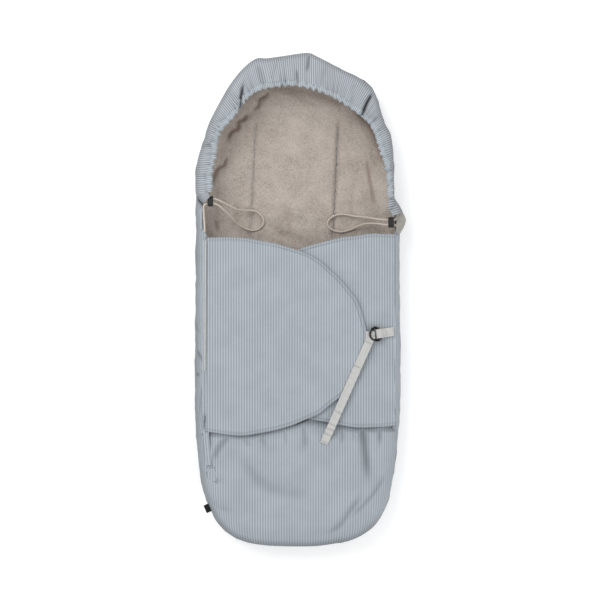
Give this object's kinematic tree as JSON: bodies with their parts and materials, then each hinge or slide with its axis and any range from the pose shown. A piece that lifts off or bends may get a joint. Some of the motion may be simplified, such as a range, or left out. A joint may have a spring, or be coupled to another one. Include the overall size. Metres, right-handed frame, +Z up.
{
  "type": "stroller footmuff",
  "caption": "Quilted stroller footmuff with a gathered drawcord hood, pile lining, harness slits, closed foot pouch and two front flaps held by a webbing strap through D-rings",
  "frame": {"origin": "centre of the bounding box's base, under the middle of the footmuff as it lies on its back", "axes": "+Z up from the back to the flaps, +Y along its length from the foot to the hood, +X to the right seen from above"},
  "size_m": [0.396, 0.9483, 0.0937],
  "materials": {
    "striped_cotton": "matte",
    "pile": "matte",
    "wadding": "matte",
    "webbing": "matte",
    "cord": "matte",
    "black_plastic": "satin",
    "ring_steel": "satin",
    "black_label": "matte"
  },
  "bodies": {
    "quilt": {"back_shell": "striped_cotton", "back_padding": "wadding", "back_lining": "pile", "slit_facing_left": "webbing", "slit_facing_right": "webbing", "hood_shell": "striped_cotton", "hood_lining": "pile", "hood_channel": "striped_cotton", "drawcord": "cord", "pouch_shell": "striped_cotton", "pouch_padding": "wadding", "pouch_lining": "pile", "pouch_mouth_band": "webbing", "zip_tape": "webbing", "zip_coil": "black_plastic", "zip_end_patch": "striped_cotton", "side_label": "black_label", "cord_left": "cord", "cord_right": "cord"},
    "left_flap": {"left_flap_shell": "striped_cotton", "left_flap_padding": "wadding", "left_flap_lining": "pile", "closure_strap": "webbing"},
    "right_flap": {"right_flap_shell": "striped_cotton", "right_flap_padding": "wadding", "right_flap_lining": "pile", "ring_tab": "webbing"},
    "ring_lower": {"d_ring_lower": "ring_steel"},
    "ring_upper": {"d_ring_upper": "ring_steel"},
    "lock_left": {"lock_left_body": "black_plastic", "lock_left_spring": "ring_steel"},
    "button_left": {"lock_left_button": "black_plastic"},
    "lock_right": {"lock_right_body": "black_plastic", "lock_right_spring": "ring_steel"},
    "button_right": {"lock_right_button": "black_plastic"},
    "slider": {"zip_slider": "black_plastic"},
    "pull": {"zip_pull": "ring_steel"}
  },
  "joints": [
    {"name": "left_flap_open", "type": "hinge", "parent": "quilt", "child": "left_flap", "pos_m": [-0.173, 0, 0.0886], "axis": [0, -1, 0], "range_deg": [0, 140], "deforming": ["closure_strap"]},
    {"name": "right_flap_open", "type": "hinge", "parent": "quilt", "child": "right_flap", "pos_m": [0.1836, 0, 0.0759], "axis": [0, 1, 0], "range_deg": [0, 70]},
    {"name": "ring_lower_turn", "type": "hinge", "parent": "right_flap", "child": "ring_lower", "pos_m": [0.15198, -0.064, 0.0875], "axis": [0, 1, 0], "range_deg": [0, 70], "deforming": ["closure_strap"]},
    {"name": "ring_upper_turn", "type": "hinge", "parent": "right_flap", "child": "ring_upper", "pos_m": [0.15498, -0.064, 0.0906], "axis": [0, 1, 0], "range_deg": [0, 70], "deforming": ["closure_strap"]},
    {"name": "lock_left_slide", "type": "slide", "parent": "quilt", "child": "lock_left", "axis": [1, 0, 0], "range_m": [0, 0.03], "deforming": ["cord_left"]},
    {"name": "lock_left_press", "type": "slide", "parent": "lock_left", "child": "button_left", "axis": [0, 0, -1], "range_m": [0, 0.0012], "stiffness_N_per_m": 300, "springref_m": -0.0012, "deforming": ["lock_left_spring"]},
    {"name": "lock_right_slide", "type": "slide", "parent": "quilt", "child": "lock_right", "axis": [-1, 0, 0], "range_m": [0, 0.03], "deforming": ["cord_right"]},
    {"name": "lock_right_press", "type": "slide", "parent": "lock_right", "child": "button_right", "axis": [0, 0, -1], "range_m": [0, 0.0012], "stiffness_N_per_m": 300, "springref_m": -0.0012, "deforming": ["lock_right_spring"]},
    {"name": "zip_slide", "type": "slide", "parent": "quilt", "child": "slider", "axis": [0, 1, 0], "range_m": [0, 0.315]},
    {"name": "zip_pull_lift", "type": "hinge", "parent": "slider", "child": "pull", "pos_m": [-0.18163, -0.2303, 0.08631], "axis": [-0.8093, 0, -0.5874], "range_deg": [0, 35]}
  ],
  "couplings": [
    {"joint": "right_flap_open", "follows": "left_flap_open", "ratio": 0.5},
    {"joint": "ring_upper_turn", "follows": "ring_lower_turn", "ratio": 1}
  ]
}
